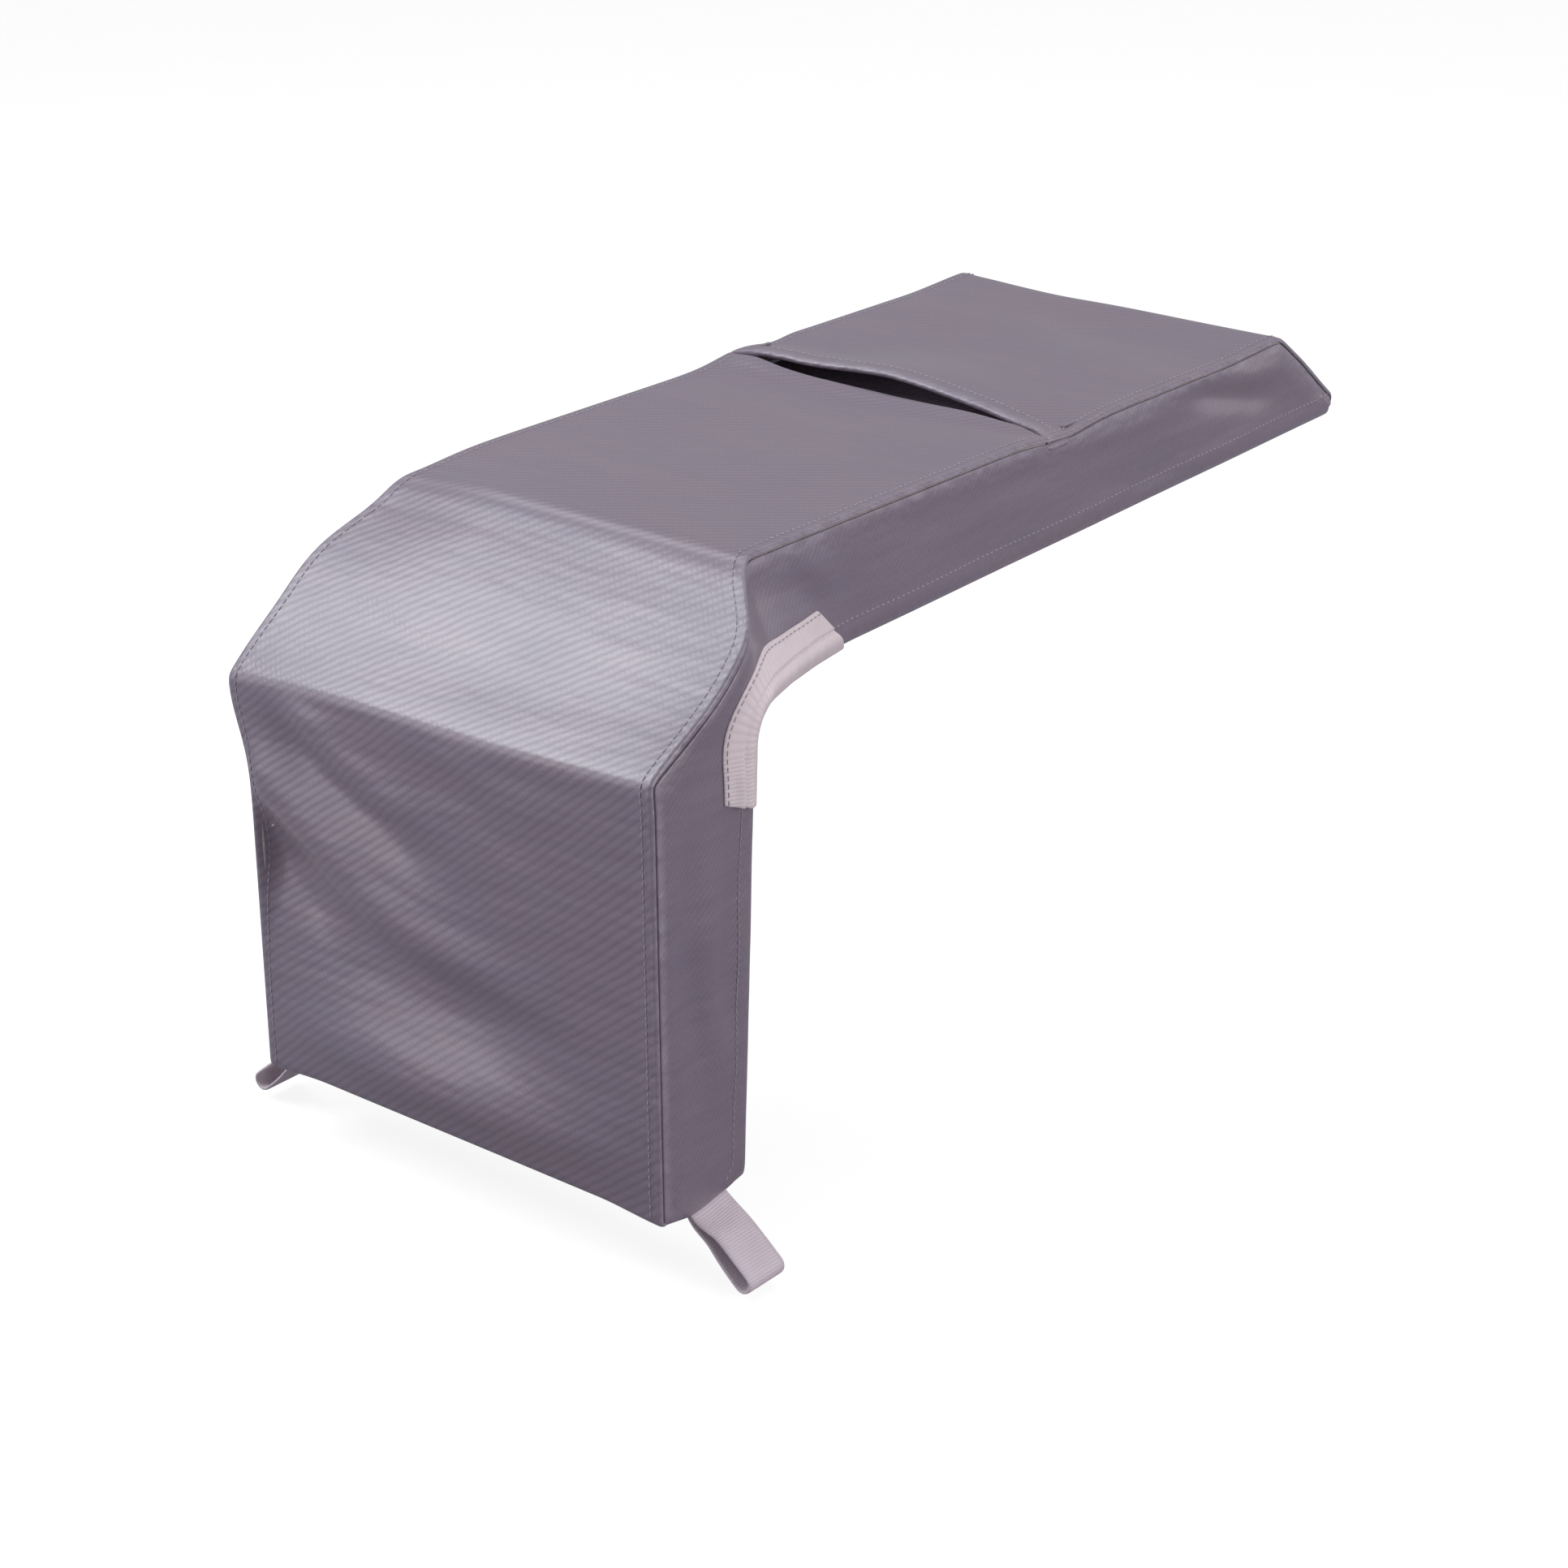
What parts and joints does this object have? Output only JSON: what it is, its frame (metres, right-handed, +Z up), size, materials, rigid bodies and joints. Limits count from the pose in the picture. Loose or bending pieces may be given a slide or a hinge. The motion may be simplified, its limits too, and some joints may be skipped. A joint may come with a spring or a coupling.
{
  "type": "fire-resistant battery hood",
  "caption": "Soft silver-mauve cloth hood shaped like an upside-down L, with a sloped nose, lapped top slot, taped inner corners and webbing pull loops.",
  "frame": {"origin": "on the liner's face under the top, midway across and 160 mm behind the front face, where the hood rests on what it covers", "axes": "+Z up, +Y from the front face along the arm to the rear end, +X to the right seen from the front"},
  "size_m": [0.26, 0.473, 0.2557],
  "materials": {
    "shell_cloth": "silicone-coated ribbed twill glass cloth, silvery mauve-grey with a satin sheen",
    "felt": "needle-punched fire-resistant felt, matt",
    "liner_cloth": "plain-weave glass cloth, matt",
    "corner_tape": "pale pinkish-grey ribbed webbing tape, matt",
    "webbing": "cross-ribbed grey webbing, matt",
    "thread": "sewing thread in dense zigzag"
  },
  "bodies": {
    "hood": {"front_top_panel": "shell_cloth", "rear_top_panel": "shell_cloth", "bottom_panel": "shell_cloth", "side_panel_left": "shell_cloth", "side_panel_right": "shell_cloth", "felt_front_top_panel": "felt", "felt_rear_top_panel": "felt", "felt_bottom_panel": "felt", "felt_side_panel_left": "felt", "felt_side_panel_right": "felt", "liner_front_top_panel": "liner_cloth", "liner_rear_top_panel": "liner_cloth", "liner_bottom_panel": "liner_cloth", "liner_side_panel_left": "liner_cloth", "liner_side_panel_right": "liner_cloth", "slot_underlap": "shell_cloth", "slot_bartack_left": "thread", "corner_tape_left": "corner_tape", "loop_tail_left": "webbing", "loop_bartack_left": "thread", "slot_bartack_right": "thread", "corner_tape_right": "corner_tape", "loop_tail_right": "webbing", "loop_bartack_right": "thread"},
    "loop_left": {"pull_loop_left": "webbing"},
    "loop_right": {"pull_loop_right": "webbing"}
  },
  "joints": [
    {"name": "loop_left_swing", "type": "hinge", "parent": "hood", "child": "loop_left", "pos_m": [-0.1028, -0.1305, -0.22465], "axis": [0, 1, 0], "range_deg": [-120, 110], "stiffness_Nm_per_rad": 0.012},
    {"name": "loop_right_swing", "type": "hinge", "parent": "hood", "child": "loop_right", "pos_m": [0.1028, -0.1305, -0.22465], "axis": [0, -1, 0], "range_deg": [-120, 110], "stiffness_Nm_per_rad": 0.012}
  ]
}
